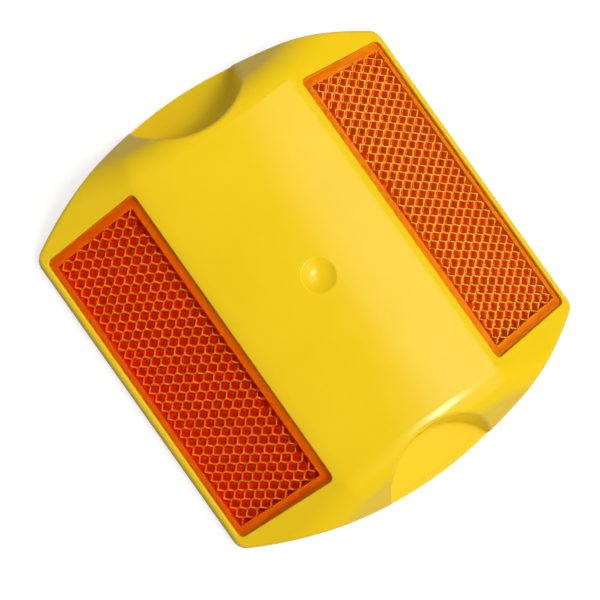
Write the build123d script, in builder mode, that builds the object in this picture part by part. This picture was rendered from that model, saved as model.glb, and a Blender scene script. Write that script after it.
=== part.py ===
from build123d import *
import os
from math import atan, ceil, cos, degrees, radians, sin, sqrt, tan

# Raised road stud with a prismatic reflector on each sloped face.
# X runs across the stud from one reflector to the other, Y along it from one bowed end to the other,
# and Z up from the road. The origin is the middle of the underside. Sizes are in millimetres and degrees.

# Body
body_width = 92.0
body_length = 102.0
body_height = 19.0
end_radius = 89.0
corner_radius = 3.5
rim_draft = 8.0
edge_radius = 1.0
side_height = 3.4
crown_half_width = 20.2
crown_rise = 2.2
crown_blend_radius = 8.0
end_angle = 60.0
end_lip_height = 2.2
crest_radius = 8.0

# Finger scoops in the two bowed ends
scoop_radius = 14.4
scoop_setout = 5.0
scoop_draft = 10.0
scoop_floor_angle = 25.0
scoop_floor_radius = 0.8
scoop_lip_height = 1.2

# Gate dimple in the middle of the crown
dimple_diameter = 7.6
dimple_depth = 1.2
dimple_edge_radius = 0.4

# Shell walls
shell_wall = 3.0
scoop_wall = 2.0
inner_corner_radius = 1.0

# Reflector lenses and the recesses that hold them
lens_foot_margin = 2.0
lens_head_margin = 1.6
lens_end_margin = 3.3
lens_corner_radius = 1.2
lens_edge_radius = 0.5
lens_flange = 0.9
lens_gap = 0.15
recess_edge_radius = 0.3
ledge_foot_width = 0.9
ledge_head_width = 2.0
ledge_end_width = 1.8
window_corner_radius = 0.5
prism_pitch = 2.3
prism_floor = 0.5
prism_air_gap = 0.45
prism_side_gap = 0.2

# Sealant, backing plates, resin and grit
seal_thickness = 0.3
seal_setback = 0.25
backing_thickness = 0.9
backing_overlap = 0.5
resin_shrinkage = 0.05
grit_thickness = 0.5

# Shared geometry of the outer shape
half_width = body_width / 2
half_length = body_length / 2
face_rise = body_height - crown_rise - side_height
face_run = half_width - crown_half_width
face_angle = degrees(atan(face_rise / face_run))
face_length = sqrt(face_rise**2 + face_run**2)
crown_radius = (crown_half_width**2 + crown_rise**2) / (2 * crown_rise)
dimple_radius = (dimple_diameter**2 / 4 + dimple_depth**2) / (2 * dimple_depth)
touch = 0.001

# Shared geometry of the reflectors
prism_relief = prism_pitch * sqrt(2 / 3)
face_wall = prism_floor + prism_relief + prism_air_gap
recess_depth = lens_flange + seal_thickness
lens_width = face_length - lens_foot_margin - lens_head_margin
lens_foot_x = half_width - lens_foot_margin * cos(radians(face_angle))
lens_length = 2 * (sqrt(end_radius**2 - lens_foot_x**2) - end_radius + half_length - lens_end_margin)
lens_mid = lens_foot_margin + lens_width / 2
window_length = lens_length - 2 * ledge_end_width
window_width = lens_width - ledge_foot_width - ledge_head_width
window_shift = (ledge_foot_width - ledge_head_width) / 2
prism_field_length = window_length - 2 * prism_side_gap
prism_field_width = window_width - 2 * prism_side_gap


def face_plane(side):
    """Plane of a sloped face, at the lens middle: x along the stud, y up the slope, z out of the face."""
    run = lens_mid * cos(radians(face_angle))
    rise = lens_mid * sin(radians(face_angle))
    return Plane(
        origin=(side * (half_width - run), 0, side_height + rise),
        x_dir=(0, side, 0),
        z_dir=(side * sin(radians(face_angle)), 0, cos(radians(face_angle))),
    )


def stud_form(wall, slope_wall):
    """The stud's outer shape without its scoops, drawn in by a wall, and by another on the sloped faces."""
    peak = side_height + half_width * tan(radians(face_angle)) - slope_wall / cos(radians(face_angle))
    reach = peak / tan(radians(face_angle))
    lip_point = half_length - end_lip_height * tan(radians(rim_draft))
    drop = wall / cos(radians(end_angle))
    with BuildPart() as form:
        with BuildSketch(Plane.XZ) as section:
            with BuildLine():
                Polyline((-reach, 0), (reach, 0), (0, peak), close=True)
            make_face()
            with Locations((0, body_height - crown_radius)):
                Circle(crown_radius - wall, mode=Mode.INTERSECT)
            if wall == 0:
                fillet(section.vertices().group_by(Axis.Y)[-1], crown_blend_radius)
        extrude(amount=body_length, both=True)
        for side in (-1, 1):
            lean = (0, side * sin(radians(end_angle)), cos(radians(end_angle)))
            end_cut = Plane(origin=(0, side * lip_point, end_lip_height - drop), z_dir=lean)
            split(bisect_by=end_cut, keep=Keep.BOTTOM)
            crest = form.faces().sort_by(Axis.Y)[-1 if side > 0 else 0].edges()
            fillet(crest.filter_by(lambda edge: edge.center().Z > end_lip_height), crest_radius - wall)
        with BuildSketch() as outline:
            Rectangle(body_width - 2 * wall, body_length)
            for side in (-1, 1):
                with Locations((0, side * (half_length - end_radius))):
                    Circle(end_radius - wall, mode=Mode.INTERSECT)
            fillet(outline.vertices(), max(corner_radius - wall, inner_corner_radius))
        extrude(amount=body_height, taper=rim_draft, mode=Mode.INTERSECT)
    return form.part


def finger_scoop(side, wall):
    """Space of the finger scoop in one end, grown by a wall."""
    slant = radians(scoop_draft)
    grow = wall / cos(slant)
    foot_radius = scoop_radius - body_height * tan(slant) + grow
    top_radius = scoop_radius + 2 * body_height * tan(slant) + grow
    centre = side * (half_length + scoop_setout)
    floor_lean = (0, side * sin(radians(scoop_floor_angle)), cos(radians(scoop_floor_angle)))
    floor = Plane(origin=(0, side * half_length, scoop_lip_height), z_dir=floor_lean).offset(-wall)
    with BuildPart() as scoop:
        with BuildSketch(Plane(origin=(0, centre, 0), x_dir=(1, 0, 0), z_dir=(0, -1, 0))):
            with BuildLine():
                Polyline(
                    (0, -body_height),
                    (foot_radius, -body_height),
                    (top_radius, 2 * body_height),
                    (0, 2 * body_height),
                    close=True,
                )
            make_face()
        revolve(axis=Axis((0, centre, 0), (0, 0, 1)))
        split(bisect_by=floor, keep=Keep.TOP)
        floor_face = scoop.faces().sort_by(Axis((0, 0, 0), floor_lean))[0]
        fillet(floor_face.edges(), scoop_floor_radius + wall)
    return scoop.part


def standing_faces(body):
    """Faces that rise from the base."""
    return body.faces().filter_by(lambda face: face.bounding_box().min.Z < touch < face.center().Z)


def lying_on(edges, carriers):
    """Those edges whose middle lies on one of the carriers."""
    return edges.filter_by(lambda edge: min(item.distance_to(edge @ 0.5) for item in carriers) < touch)


def core_form(shrinkage):
    """The hollow inside the shell, drawn in by a shrinkage where it meets the shell's curved walls."""
    with BuildPart() as core:
        add(stud_form(shell_wall + shrinkage, face_wall))
        for side in (-1, 1):
            add(finger_scoop(side, scoop_wall + shrinkage), mode=Mode.SUBTRACT)
    return core.part


# Shell: outer shape with its scoops, rounded edges and dimple
outer = stud_form(0, 0)
outer_walls = standing_faces(outer)
outer_skin = outer.faces().filter_by(lambda face: face.center().Z > touch) - outer_walls
outer_rim = outer_skin.edges() & outer_walls.edges()

with BuildPart() as shell:
    add(outer)
    for side in (-1, 1):
        add(finger_scoop(side, 0), mode=Mode.SUBTRACT)
    scoop_walls = shell.faces().filter_by(GeomType.CONE) - standing_faces(shell)
    scoop_brows = lying_on(scoop_walls.edges(), outer_skin)
    fillet(lying_on(shell.edges(), outer_rim) + scoop_brows, edge_radius)
    with Locations((0, 0, body_height - dimple_depth + dimple_radius)):
        Sphere(dimple_radius, mode=Mode.SUBTRACT)
    dimple_rim = lying_on(shell.edges(), outer_skin).sort_by_distance((0, 0, body_height))[0]
    fillet(dimple_rim, dimple_edge_radius)

    # Hollow inside, then a stepped window for each lens
    add(core_form(0), mode=Mode.SUBTRACT)
    for side in (-1, 1):
        with BuildSketch(face_plane(side)) as recess_outline:
            RectangleRounded(
                lens_length + 2 * lens_gap, lens_width + 2 * lens_gap, lens_corner_radius + lens_gap
            )
        extrude(amount=recess_depth, both=True, mode=Mode.SUBTRACT)
        fillet(lying_on(shell.edges(), recess_outline.sketch.edges()), recess_edge_radius)
        with BuildSketch(face_plane(side)):
            with Locations((0, window_shift)):
                RectangleRounded(window_length, window_width, window_corner_radius)
        extrude(amount=-face_wall - seal_thickness, mode=Mode.SUBTRACT)

# One corner-cube prism: a hexagonal column whose lower end is three square facets meeting in a point
cell_radius = prism_pitch / sqrt(3)
cube_size = 2 * prism_pitch
first_edge = Vector(sqrt(2 / 3), 0, 1 / sqrt(3))
second_edge = Vector(-sqrt(1 / 6), sqrt(1 / 2), 1 / sqrt(3))
with BuildPart() as prism:
    with BuildSketch():
        RegularPolygon(radius=cell_radius, side_count=6)
    extrude(amount=prism_relief + prism_floor / 2)
    with Locations(Plane(origin=(0, 0, 0), x_dir=first_edge, z_dir=first_edge.cross(second_edge))):
        Box(cube_size, cube_size, cube_size, align=(Align.MIN,) * 3, mode=Mode.INTERSECT)

# Prism field, trimmed to the window, with one ridge of each prism running up the slope: turned this way,
# the prisms send back light that comes in low over the road
column_count = ceil(prism_field_width / (1.5 * cell_radius)) + 2
row_count = ceil(prism_field_length / prism_pitch) + 2
with BuildPart() as prism_field:
    with Locations(Location((0, window_shift, -prism_floor - prism_relief), (0, 0, 90))):
        with HexLocations(prism_pitch / 2, column_count, row_count):
            add(prism.part)
    with Locations((0, window_shift, 0)):
        Box(prism_field_length, prism_field_width, 2 * face_wall, mode=Mode.INTERSECT)

# Lens: flanged plate with the prism field on its back, drawn flat with its front at the origin plane
with BuildPart() as lens:
    with BuildSketch():
        RectangleRounded(lens_length, lens_width, lens_corner_radius)
    extrude(amount=-lens_flange)
    fillet(lens.faces().sort_by(Axis.Z)[-1].edges(), lens_edge_radius)
    with BuildSketch(Plane.XY.offset(-lens_flange)):
        with Locations((0, window_shift)):
            Rectangle(prism_field_length, prism_field_width)
    extrude(amount=lens_flange - prism_floor / 2, mode=Mode.SUBTRACT)
    add(prism_field.part)

# Seal: ring of sealant between the lens flange and the ledge
with BuildPart() as seal:
    with BuildSketch(Plane.XY.offset(-recess_depth)):
        RectangleRounded(lens_length - 2 * seal_setback, lens_width - 2 * seal_setback, lens_corner_radius)
        with Locations((0, window_shift)):
            RectangleRounded(
                window_length + 2 * seal_setback,
                window_width + 2 * seal_setback,
                lens_corner_radius,
                mode=Mode.SUBTRACT,
            )
    extrude(amount=seal_thickness)

# Backing: plate that closes the window from inside
with BuildPart() as backing:
    with BuildSketch(Plane.XY.offset(-face_wall)):
        with Locations((0, window_shift)):
            RectangleRounded(
                window_length + 2 * backing_overlap, window_width + 2 * backing_overlap, lens_corner_radius
            )
    extrude(amount=-backing_thickness)

# Resin core above the grit coat, cast round the backing plates
with BuildPart() as potting_fill:
    add(core_form(resin_shrinkage))
    split(bisect_by=Plane.XY.offset(grit_thickness), keep=Keep.TOP)
    for side in (-1, 1):
        with Locations(face_plane(side)):
            add(backing.part, mode=Mode.SUBTRACT)

# Grit coat, level with the rim of the shell
with BuildPart() as base_grit:
    add(core_form(resin_shrinkage))
    split(bisect_by=Plane.XY.offset(grit_thickness), keep=Keep.BOTTOM)

# The same lens, seal and backing serve both faces
with BuildPart() as front_lens:
    with Locations(face_plane(-1)):
        add(lens.part)
with BuildPart() as rear_lens:
    with Locations(face_plane(1)):
        add(lens.part)
with BuildPart() as front_lens_seal:
    with Locations(face_plane(-1)):
        add(seal.part)
with BuildPart() as rear_lens_seal:
    with Locations(face_plane(1)):
        add(seal.part)
with BuildPart() as front_lens_backing:
    with Locations(face_plane(-1)):
        add(backing.part)
with BuildPart() as rear_lens_backing:
    with Locations(face_plane(1)):
        add(backing.part)

# Export each piece under its own name
shell.part.label = "shell"
front_lens.part.label = "front_lens"
rear_lens.part.label = "rear_lens"
front_lens_seal.part.label = "front_lens_seal"
rear_lens_seal.part.label = "rear_lens_seal"
front_lens_backing.part.label = "front_lens_backing"
rear_lens_backing.part.label = "rear_lens_backing"
potting_fill.part.label = "potting_fill"
base_grit.part.label = "base_grit"

os.makedirs("parts", exist_ok=True)
export_step(shell.part, "parts/shell.step")
export_step(front_lens.part, "parts/front_lens.step")
export_step(rear_lens.part, "parts/rear_lens.step")
export_step(front_lens_seal.part, "parts/front_lens_seal.step")
export_step(rear_lens_seal.part, "parts/rear_lens_seal.step")
export_step(front_lens_backing.part, "parts/front_lens_backing.step")
export_step(rear_lens_backing.part, "parts/rear_lens_backing.step")
export_step(potting_fill.part, "parts/potting_fill.step")
export_step(base_grit.part, "parts/base_grit.step")
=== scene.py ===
# %% [markdown]
# # A raised road stud
# A road stud is glued to the road and sends a driver's headlights back to the driver.
# The solid pieces come ready from the CAD frame, in metres, and stay exactly where they are.
# This lesson gives each piece the surface of the real one, then sets up floor, light and camera.

# %% Load the frame
import math

import bmesh
import bpy
from mathutils import Euler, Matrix, Vector, noise as grain_noise


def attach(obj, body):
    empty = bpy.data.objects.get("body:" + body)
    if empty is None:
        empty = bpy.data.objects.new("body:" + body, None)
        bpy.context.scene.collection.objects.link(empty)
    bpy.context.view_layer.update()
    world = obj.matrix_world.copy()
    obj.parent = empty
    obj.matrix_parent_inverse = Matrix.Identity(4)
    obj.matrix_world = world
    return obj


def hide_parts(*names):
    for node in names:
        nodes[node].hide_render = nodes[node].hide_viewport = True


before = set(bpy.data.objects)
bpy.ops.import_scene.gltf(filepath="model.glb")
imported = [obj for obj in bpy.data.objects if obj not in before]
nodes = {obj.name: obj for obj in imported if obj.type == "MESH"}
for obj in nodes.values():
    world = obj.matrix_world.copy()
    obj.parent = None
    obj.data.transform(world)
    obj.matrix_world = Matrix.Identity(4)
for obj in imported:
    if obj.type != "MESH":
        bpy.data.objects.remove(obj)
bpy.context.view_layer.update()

print("pieces in the frame:", sorted(nodes))

# %% [markdown]
# ## A small kit for surfaces
# Every finish below is a tree of nodes, with no pictures in it. A few helpers keep the trees short.
# They think in millimetres, as a moulder does when talking of grain, flow marks and orange peel.

# %% Start a finish and add nodes to it
MM = 0.001


def new_finish(name):
    """An empty node material, its tree and its output."""
    finish = bpy.data.materials.new(name)
    finish.use_nodes = True
    finish.node_tree.nodes.clear()
    return finish, finish.node_tree, add_node(finish.node_tree, "ShaderNodeOutputMaterial")


def add_node(tree, kind, **settings):
    """A new node. Settings name its properties, or its input sockets with underscores for spaces."""
    node = tree.nodes.new(kind)
    for name, value in settings.items():
        socket = name.replace("_", " ")
        if socket in node.inputs:
            node.inputs[socket].default_value = value
        else:
            setattr(node, name, value)
    return node


# %% Noise that stays on the object
NOISE_LOW = 0.3
NOISE_HIGH = 0.7


def noise(tree, grain_mm, detail=3.0):
    """Smooth noise, fixed to the object, whose blotches are about grain_mm across."""
    place = add_node(tree, "ShaderNodeTexCoord")
    grain = add_node(tree, "ShaderNodeTexNoise", Scale=1 / (grain_mm * MM), Detail=detail)
    tree.links.new(place.outputs["Object"], grain.inputs["Vector"])
    return grain.outputs["Fac"]


def spread(tree, value, low, high):
    """Stretches a noise value, which lies near one half, to run from low to high."""
    stretch = add_node(
        tree, "ShaderNodeMapRange", From_Min=NOISE_LOW, From_Max=NOISE_HIGH, To_Min=low, To_Max=high
    )
    tree.links.new(value, stretch.inputs["Value"])
    return stretch.outputs["Result"]


def blend_colours(tree, value, first, second):
    """A colour that goes from first to second as a noise value rises."""
    ramp = add_node(tree, "ShaderNodeValToRGB")
    places = (NOISE_LOW, NOISE_HIGH)
    for element, place, colour in zip(ramp.color_ramp.elements, places, (first, second)):
        element.position = place
        element.color = (*colour, 1)
    tree.links.new(value, ramp.inputs["Fac"])
    return ramp.outputs["Color"]


def bump(tree, height, depth_mm, strength):
    """A normal that rises and falls with a height."""
    relief = add_node(tree, "ShaderNodeBump", Strength=strength, Distance=depth_mm * MM)
    tree.links.new(height, relief.inputs["Height"])
    return relief.outputs["Normal"]


# %% Put a finish on a piece
def dress(piece_name, finish):
    """Puts one finish on a piece of the frame."""
    nodes[piece_name].data.materials.clear()
    nodes[piece_name].data.materials.append(finish)
    print(piece_name, "wears", finish.name)


def add_piece(name, mesh, replaced):
    """A new piece that stands in for a piece of the frame and rides on the stud's one body."""
    piece = bpy.data.objects.new(name, mesh)
    bpy.context.scene.collection.objects.link(piece)
    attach(piece, "root")
    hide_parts(replaced)
    print(name, "stands in for", replaced, "with", len(mesh.polygons), "faces")
    return piece


# %% [markdown]
# ## The yellow shell
# The housing is injection-moulded ABS, coloured all the way through. Its gloss comes from a polished
# mould, but it is never perfectly even: the melt leaves faint cloudy flow marks, handling leaves
# patches that shine a little less, and the skin has a soft orange peel that a mirror would not have.

# %% Moulded yellow ABS
SHELL_COLOURS = (0.920, 0.605, 0.005), (0.940, 0.630, 0.008)
SHELL_GLOSS = 0.16, 0.20
ABS_INDEX = 1.5
ABS_SHINE = 0.27


def moulded_yellow():
    """Glossy yellow with faint flow marks, uneven gloss and orange peel."""
    finish, tree, output = new_finish("moulded_yellow")
    plastic = add_node(tree, "ShaderNodeBsdfPrincipled", IOR=ABS_INDEX, Specular_IOR_Level=ABS_SHINE)
    flow_marks = noise(tree, grain_mm=18)
    tree.links.new(blend_colours(tree, flow_marks, *SHELL_COLOURS), plastic.inputs["Base Color"])
    handling = noise(tree, grain_mm=9, detail=2)
    tree.links.new(spread(tree, handling, *SHELL_GLOSS), plastic.inputs["Roughness"])
    orange_peel = bump(tree, noise(tree, grain_mm=1.2, detail=2), depth_mm=0.05, strength=0.05)
    tree.links.new(orange_peel, plastic.inputs["Normal"])
    tree.links.new(plastic.outputs["BSDF"], output.inputs["Surface"])
    return finish


dress("shell", moulded_yellow())

# %% [markdown]
# ## The amber reflectors
# Each reflector is one plate of clear amber acrylic: smooth in front, with a flange all round and
# hundreds of corner-cube prisms behind. Three facets meet in each prism like the corner of a box,
# so light that enters turns three times and leaves the way it came.
# The CAD prisms have knife edges. Moulded ones don't: the walls of the mould wear blunt, so the
# valleys between prisms and the ridges come out round. Here they are real faces, cut with a bevel into
# a copy of the mesh. The valley strips get a pale matt colour, a painted highlight that stands in for
# the glints the rounded valleys throw back, and these pale strips draw the honeycomb.

# %% Sort the faces of a lens
FRONT, RIM, FACET, VALLEY, GLUED = range(5)
FLUSH = 0.999
FACET_LEAN = 1 / math.sqrt(3)
LEAN_SLACK = 0.02


def sort_face(face, front):
    """Which part of the lens a face belongs to, told by how it leans to the front."""
    lean = face.normal.dot(front)
    if lean > FLUSH:
        return FRONT
    if lean < -FLUSH:
        return GLUED
    if abs(lean + FACET_LEAN) < LEAN_SLACK:
        return FACET
    return RIM


# %% Round the prism edges
VALLEY_WIDTH = 0.25
RIDGE_WIDTH = 0.12
WHOLE_VALLEY = 1.6
WHOLE_RIDGE = 1.2
ROUND_STEPS = 2
ROUND_PROFILE = 0.5


def prism_edges(shape, convex, shortest):
    """The edges longer than shortest where two facets meet: ridges are convex, valleys aren't."""
    return [
        edge for edge in shape.edges
        if len(edge.link_faces) == 2 and edge.is_convex == convex and edge.calc_length() > shortest
        and all(face.material_index == FACET for face in edge.link_faces)
    ]


def round_off(shape, edges, width, finish):
    """Rounds edges with narrow strips that wear the given finish."""
    bmesh.ops.bevel(
        shape, geom=edges, offset=width, offset_type="OFFSET", affect="EDGES",
        segments=ROUND_STEPS, profile=ROUND_PROFILE, clamp_overlap=False, material=finish,
    )


# %% Copies of a piece in millimetres
WELD_DISTANCE = 0.001
FLAT_ANGLE = math.radians(0.5)


def copy_in_mm(piece_name):
    """A copy of a piece in millimetres, with loose corners welded and flat faces joined."""
    shape = bmesh.new()
    shape.from_mesh(nodes[piece_name].data)
    bmesh.ops.scale(shape, vec=Vector((1, 1, 1)) / MM, verts=shape.verts)
    bmesh.ops.remove_doubles(shape, verts=shape.verts, dist=WELD_DISTANCE)
    bmesh.ops.dissolve_limit(shape, angle_limit=FLAT_ANGLE, verts=shape.verts, edges=shape.edges)
    shape.normal_update()
    return shape


def mesh_in_metres(shape, name):
    """The finished mesh of a shape that was worked on in millimetres."""
    bmesh.ops.scale(shape, vec=Vector((MM, MM, MM)), verts=shape.verts)
    mesh = bpy.data.meshes.new(name)
    shape.to_mesh(mesh)
    shape.free()
    return mesh


# %% Make the lenses
WILD_AREA = 0.5
WILD_REACH = 0.95


def sorted_lens(node_name):
    """A copy of a lens in millimetres, with its faces sorted."""
    shape = copy_in_mm(node_name)
    front = max(shape.faces, key=lambda face: face.calc_area()).normal.copy()
    for face in shape.faces:
        face.material_index = sort_face(face, front)
        face.smooth = False
    return shape


def far_from(edge, spots):
    """Whether the middle of an edge is out of reach of every spot."""
    middle = edge.verts[0].co.lerp(edge.verts[1].co, 0.5)
    return all((middle - spot).length > WILD_REACH for spot in spots)


def round_valleys(node_name, left_sharp):
    """Rounds the valleys of a lens, apart from those near a spot that is to stay sharp."""
    shape = sorted_lens(node_name)
    valleys = [
        edge for edge in prism_edges(shape, convex=False, shortest=WHOLE_VALLEY)
        if far_from(edge, left_sharp)
    ]
    round_off(shape, valleys, VALLEY_WIDTH, VALLEY)
    strips = [face for face in shape.faces if face.material_index == VALLEY]
    wild = [face.calc_center_median() for face in strips if face.calc_area() > WILD_AREA]
    print(node_name, "has", len(valleys), "rounded valleys, of which", len(wild), "strips ran wild")
    return shape, wild


def rounded_lens(node_name):
    """A copy of a lens with its prism edges rounded. A valley whose strip runs wild stays sharp."""
    left_sharp = []
    shape, wild = round_valleys(node_name, left_sharp)
    while wild:
        left_sharp += wild
        shape.free()
        shape, wild = round_valleys(node_name, left_sharp)
    round_off(shape, prism_edges(shape, convex=True, shortest=WHOLE_RIDGE), RIDGE_WIDTH, FACET)
    bmesh.ops.dissolve_degenerate(shape, edges=shape.edges, dist=WELD_DISTANCE)
    name = node_name + "_prisms"
    return add_piece(name, mesh_in_metres(shape, name), node_name)


lenses = {name: rounded_lens(name) for name in ("front_lens", "rear_lens")}

# %% [markdown]
# ## Amber acrylic
# The colour sits in the dye, not on the surface: the further light travels inside, the more green and
# blue it loses. That is why the thin floor over a valley looks orange and the deep prisms look red.
# The front bends light less than real acrylic does. Acrylic has an index of 1.49, and with that a flat
# plate traps half the light and mirrors the ceiling, which hides the prisms under soft light.
# The prism facets keep the true index, because it is what makes them send light back.
# The rear plate is given less dye than the front one, so that it looks a lighter orange: this is painted
# light, standing in for the lamp that falls more fully on the rear plate.

# %% Clear amber, with its dye
ACRYLIC_INDEX = 1.49
FRONT_INDEX = 1.04
# Less dye in the rear plate is painted light: it lightens that plate as the lamp would.
DYE_STRENGTHS_WITH_PAINTED_LIGHT = {"front_lens": 1550.0, "rear_lens": 700.0}
DYE_COLOUR = (0.99, 0.72, 0.0)
POLISH = 0.0, 0.03


def amber_acrylic(name, index, dye_strength_with_painted_light):
    """Clear acrylic whose dye takes more colour out of light on a longer way."""
    finish, tree, output = new_finish(name)
    acrylic = add_node(tree, "ShaderNodeBsdfPrincipled", IOR=index, Transmission_Weight=1.0)
    acrylic.inputs["Base Color"].default_value = (1, 1, 1, 1)
    polish = noise(tree, grain_mm=4)
    tree.links.new(spread(tree, polish, *POLISH), acrylic.inputs["Roughness"])
    dye_with_painted_light = add_node(tree, "ShaderNodeVolumeAbsorption", Density=dye_strength_with_painted_light)
    dye_with_painted_light.inputs["Color"].default_value = (*DYE_COLOUR, 1)
    tree.links.new(acrylic.outputs["BSDF"], output.inputs["Surface"])
    tree.links.new(dye_with_painted_light.outputs["Volume"], output.inputs["Volume"])
    return finish


# %% [markdown]
# ## Matt, grained and glued surfaces
# The rounded valleys are given a pale matt colour, a painted highlight that stands in for their
# glints. The back of the flange sits in honey-coloured sealant with no air between, so seen through
# the flange it looks like the sealant itself. Both are plain matt bodies with a grain, and so are the
# backing plates and the resin, so one helper makes them all.

# %% A matt body with grain
ROUGHNESS_SPREAD = 0.08


def grained(name, first, second, grain_mm, roughness, relief_mm, shine=0.5):
    """A matt body of two colours. The grain also changes its roughness and height."""
    finish, tree, output = new_finish(name)
    body = add_node(tree, "ShaderNodeBsdfPrincipled", Specular_IOR_Level=shine)
    grain = noise(tree, grain_mm, detail=5)
    tree.links.new(blend_colours(tree, grain, first, second), body.inputs["Base Color"])
    levels = roughness - ROUGHNESS_SPREAD, roughness + ROUGHNESS_SPREAD
    tree.links.new(spread(tree, grain, *levels), body.inputs["Roughness"])
    tree.links.new(bump(tree, grain, relief_mm, strength=0.6), body.inputs["Normal"])
    tree.links.new(body.outputs["BSDF"], output.inputs["Surface"])
    return finish


# %% Dress the lenses
# Pale matt valley strips: their colour is a painted highlight for the glints of rounded valleys.
painted_glint_valley = grained(
    "painted_glint_valley", (1.0, 0.80, 0.30), (1.0, 0.86, 0.38),
    grain_mm=1.0, roughness=0.6, relief_mm=0.01, shine=0.0,
)
honey_sealant = grained(
    "honey_sealant", (0.96, 0.34, 0.02), (0.98, 0.40, 0.03),
    grain_mm=3.0, roughness=0.5, relief_mm=0.02, shine=0.0,
)
for node_name, lens in lenses.items():
    # The rear plate's smaller dye strength paints in the light that falls on it.
    dye_with_painted_light = DYE_STRENGTHS_WITH_PAINTED_LIGHT[node_name]
    finishes = {
        FRONT: amber_acrylic(node_name + "_face", FRONT_INDEX, dye_with_painted_light),
        RIM: amber_acrylic(node_name + "_rim", FRONT_INDEX, dye_with_painted_light),
        FACET: amber_acrylic(node_name + "_facets", ACRYLIC_INDEX, dye_with_painted_light),
        VALLEY: painted_glint_valley,
        GLUED: honey_sealant,
    }
    for part in sorted(finishes):
        lens.data.materials.append(finishes[part])
    print(lens.name, "wears", [finish.name for finish in lens.data.materials])

# %% [markdown]
# ## Behind the lenses
# A bead of sealant holds each lens on its ledge. A backing plate closes the window from inside and
# keeps air behind the prisms. It is orange, so that the reflector keeps its colour by day, when
# light slips out through the prisms instead of turning back. Sandy resin fills the rest of the shell.

# %% Seals, backing plates and resin
orange_sheet = grained(
    "orange_sheet", (0.90, 0.28, 0.02), (0.96, 0.32, 0.03),
    grain_mm=2.0, roughness=0.5, relief_mm=0.02,
)
sandy_resin = grained(
    "sandy_resin", (0.10, 0.09, 0.07), (0.26, 0.23, 0.18),
    grain_mm=0.8, roughness=0.7, relief_mm=0.2,
)
for side in ("front", "rear"):
    dress(side + "_lens_seal", honey_sealant)
    dress(side + "_lens_backing", orange_sheet)
dress("potting_fill", sandy_resin)

# %% [markdown]
# ## The gritted base
# Before the resin sets, the maker presses the underside into coarse silica sand, and the road adhesive
# later grips that. The CAD plate is flat, so its underside is cut into a fine grid here and every
# grid point is pushed up by its own amount. It never goes below the road, and the rim stays level.

# %% Cut a grid and raise the grains
GRAIN_STEP = 1.1
GRID_OFFSET = 0.37
GRAIN_HEIGHT = 0.34
GRAIN_SHIFT = 0.35
GRAIN_CROWDING = 1.9
GRAIN_SWING = 0.9
FACING_DOWN = -0.99
GRAIN_SEEDS = Vector((11.3, 0, 0)), Vector((0, 23.7, 0)), Vector((0, 0, 37.1))


def cut_grid(shape, axis, reach):
    """Cuts the underside with planes that are one grain apart."""
    direction = Vector((0, 0, 0))
    direction[axis] = 1.0
    for step in range(-int(reach / GRAIN_STEP), int(reach / GRAIN_STEP) + 1):
        under = [face for face in shape.faces if face.normal.z < FACING_DOWN]
        around = list({edge for face in under for edge in face.edges})
        corners = list({corner for face in under for corner in face.verts})
        place = direction * (step + GRID_OFFSET) * GRAIN_STEP
        bmesh.ops.bisect_plane(shape, geom=under + around + corners, plane_co=place, plane_no=direction)


def gritted_base():
    """The grit coat with a grain raised at each point of a fine grid."""
    shape = copy_in_mm("base_grit")
    for axis in (0, 1):
        cut_grid(shape, axis, reach=max(abs(corner.co[axis]) for corner in shape.verts))
    shape.normal_update()
    grains = [
        corner for corner in shape.verts
        if corner.link_faces and all(face.normal.z < FACING_DOWN for face in corner.link_faces)
    ]
    for corner in grains:
        spot = corner.co.copy()
        lift, along, across = [grain_noise.noise(spot * GRAIN_CROWDING + seed) for seed in GRAIN_SEEDS]
        corner.co.x += GRAIN_SHIFT * along
        corner.co.y += GRAIN_SHIFT * across
        corner.co.z += GRAIN_HEIGHT * min(1.0, max(0.0, 0.5 + GRAIN_SWING * lift))
    print("grains raised:", len(grains))
    return add_piece("gritted_base", mesh_in_metres(shape, "gritted_base"), "base_grit")


grit = gritted_base()
silica_grit = grained(
    "silica_grit", (0.20, 0.16, 0.11), (0.45, 0.40, 0.32),
    grain_mm=0.6, roughness=0.85, relief_mm=0.3,
)
grit.data.materials.append(silica_grit)

# %% [markdown]
# ## The floor
# The stud lies on a broad sheet. The camera sees it white, with a faint shadow of the stud. Glossy and
# clear surfaces see it a little paler than it is. All other light meets plain light grey paper, so the
# sheet never throws more light up at the stud than such paper would.

# %% Levels and sums for floor and sky
def slope(tree, value, start, end, at_start, at_end):
    """A value that goes smoothly from one level to another."""
    change = add_node(
        tree, "ShaderNodeMapRange", interpolation_type="SMOOTHSTEP",
        From_Min=start, From_Max=end, To_Min=at_start, To_Max=at_end,
    )
    tree.links.new(value, change.inputs["Value"])
    return change.outputs["Result"]


def combine(tree, operation, first, second):
    """The result of one sum on two values."""
    result = add_node(tree, "ShaderNodeMath", operation=operation)
    tree.links.new(first, result.inputs[0])
    tree.links.new(second, result.inputs[1])
    return result.outputs["Value"]


# %% A white sheet
FLOOR_SIZE = 6.0
FIBRE_SHADE = 0.02
PAPER = 0.32
SEEN_PAPER = 0.3
SEEN_GLOW = 0.74
MIRRORED_GLOW = 0.1


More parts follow.
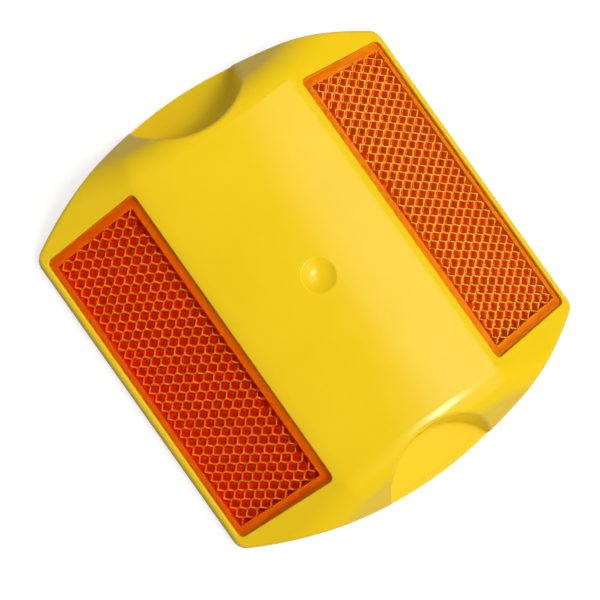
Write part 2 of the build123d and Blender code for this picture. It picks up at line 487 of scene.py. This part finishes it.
def white_sheet():
    """Grey paper that glows for the camera, so that it looks white, and a little in reflections."""
    finish, tree, output = new_finish("white_sheet")
    path = add_node(tree, "ShaderNodeLightPath")
    seen = path.outputs["Is Camera Ray"]
    mirrored = combine(tree, "MAXIMUM", path.outputs["Is Glossy Ray"], path.outputs["Is Transmission Ray"])
    fibres = spread(tree, noise(tree, grain_mm=2), -FIBRE_SHADE, FIBRE_SHADE)
    paleness = combine(tree, "ADD", fibres, slope(tree, seen, 0, 1, PAPER, SEEN_PAPER))
    paper = add_node(tree, "ShaderNodeBsdfDiffuse")
    tree.links.new(paleness, paper.inputs["Color"])
    glow = add_node(tree, "ShaderNodeEmission")
    seen_glow = slope(tree, seen, 0, 1, 0.0, SEEN_GLOW)
    mirrored_glow = slope(tree, mirrored, 0, 1, 0.0, MIRRORED_GLOW)
    tree.links.new(combine(tree, "ADD", seen_glow, mirrored_glow), glow.inputs["Strength"])
    both = add_node(tree, "ShaderNodeAddShader")
    tree.links.new(paper.outputs["BSDF"], both.inputs[0])
    tree.links.new(glow.outputs["Emission"], both.inputs[1])
    tree.links.new(both.outputs["Shader"], output.inputs["Surface"])
    return finish


bpy.ops.mesh.primitive_plane_add(size=FLOOR_SIZE)
floor = bpy.context.object
floor.name = "floor"
floor.data.materials.append(white_sheet())
print("floor is", FLOOR_SIZE, "m wide")

# %% [markdown]
# ## The light
# A photographer would hang one large soft lamp over a corner of the table and let dim walls fill the
# rest. Here both are painted on the sky with nodes, which lights evenly through the clear plates.
# The lamp stands towards minus Y and plus X. A smaller panel over the plus X side lays a broad sheen on
# the crown, and a small strong lamp leaves the spark in the dimple and the streak on the crest.
# The walls are dim, so that the bowed ends keep a deep yellow. The camera sees a plain white room
# behind the sheet instead.

# %% Paint the studio on the sky
LAMP_DIRECTION = (0.355, -0.587, 0.725)
LAMP_STRENGTH = 1.25
LAMP_CORE = 11
LAMP_EDGE = 36
PANEL_DIRECTION = (0.52, -0.05, 0.85)
PANEL_STRENGTH = 3.0
PANEL_CORE = 8
PANEL_EDGE = 20
SPOT_DIRECTION = (0.27, -0.345, 0.90)
SPOT_STRENGTH = 24.0
SPOT_CORE = 5
SPOT_EDGE = 9
WALL_LOW = 0.26
WALL_HIGH = 0.32
WALL_LOW_AT = 0.40
WALL_HIGH_AT = 0.95
WALL_BY_Y = 0.89, 1.11
WALL_BY_X = 1.40, 0.65


def round_patch(tree, place, direction, core, edge, strength):
    """A soft round light on the sky, at full strength within the core angle and dark beyond the edge."""
    nearness = add_node(tree, "ShaderNodeVectorMath", operation="DOT_PRODUCT")
    nearness.inputs[1].default_value = Vector(direction).normalized()
    tree.links.new(place, nearness.inputs[0])
    edge_level = math.cos(math.radians(edge))
    core_level = math.cos(math.radians(core))
    return slope(tree, nearness.outputs["Value"], edge_level, core_level, 0.0, strength)


def studio():
    """A sky with dim walls, two lamps and a panel, which the camera sees as plain white."""
    world = bpy.data.worlds.new("studio")
    world.use_nodes = True
    tree = world.node_tree
    tree.nodes.clear()
    output = add_node(tree, "ShaderNodeOutputWorld")
    background = add_node(tree, "ShaderNodeBackground", Color=(1, 1, 1, 1))
    place = add_node(tree, "ShaderNodeTexCoord").outputs["Generated"]
    axes = add_node(tree, "ShaderNodeSeparateXYZ")
    tree.links.new(place, axes.inputs["Vector"])
    walls = slope(tree, axes.outputs["Z"], WALL_LOW_AT, WALL_HIGH_AT, WALL_LOW, WALL_HIGH)
    walls = combine(tree, "MULTIPLY", walls, slope(tree, axes.outputs["Y"], -1, 1, *WALL_BY_Y))
    walls = combine(tree, "MULTIPLY", walls, slope(tree, axes.outputs["X"], -1, 1, *WALL_BY_X))
    lamp = round_patch(tree, place, LAMP_DIRECTION, LAMP_CORE, LAMP_EDGE, LAMP_STRENGTH)
    panel = round_patch(tree, place, PANEL_DIRECTION, PANEL_CORE, PANEL_EDGE, PANEL_STRENGTH)
    spot = round_patch(tree, place, SPOT_DIRECTION, SPOT_CORE, SPOT_EDGE, SPOT_STRENGTH)
    studio_light = walls
    for light in (lamp, panel, spot):
        studio_light = combine(tree, "ADD", studio_light, light)
    seen = add_node(tree, "ShaderNodeLightPath").outputs["Is Camera Ray"]
    studio_light = combine(tree, "MAXIMUM", studio_light, seen)
    tree.links.new(studio_light, background.inputs["Strength"])
    tree.links.new(background.outputs["Background"], output.inputs["Surface"])
    return world


bpy.context.scene.world = studio()
print("lamp of strength", LAMP_STRENGTH, "in", LAMP_DIRECTION)

# %% [markdown]
# ## The camera
# The picture is taken from nearly straight above, a quarter of a metre up, with the stud turned
# so that its long axis runs from upper left to lower right.
# Light may bounce many times inside a clear plate of prisms, so the limits on bounces go up here.

# %% Place the camera
CAMERA_PLACE = (-0.036951, -0.004766, 0.248693)
CAMERA_TURN = (5.0022, -5.8215, -35.4831)
FOCAL_LENGTH = 67.751
SENSOR_WIDTH = 36.0
NEAREST = 0.01
BOUNCES = 32
DIFFUSE_BOUNCES = 12

camera = bpy.data.objects.new("camera", bpy.data.cameras.new("camera"))
bpy.context.scene.collection.objects.link(camera)
camera.location = CAMERA_PLACE
camera.rotation_euler = Euler([math.radians(turn) for turn in CAMERA_TURN], "XYZ")
camera.data.sensor_width = SENSOR_WIDTH
camera.data.lens = FOCAL_LENGTH
camera.data.clip_start = NEAREST
scene = bpy.context.scene
scene.camera = camera
scene.view_settings.view_transform = "Standard"
scene.cycles.max_bounces = BOUNCES
scene.cycles.glossy_bounces = BOUNCES
scene.cycles.transmission_bounces = BOUNCES
scene.cycles.diffuse_bounces = DIFFUSE_BOUNCES
print("camera stands", CAMERA_PLACE[2], "m above the road")
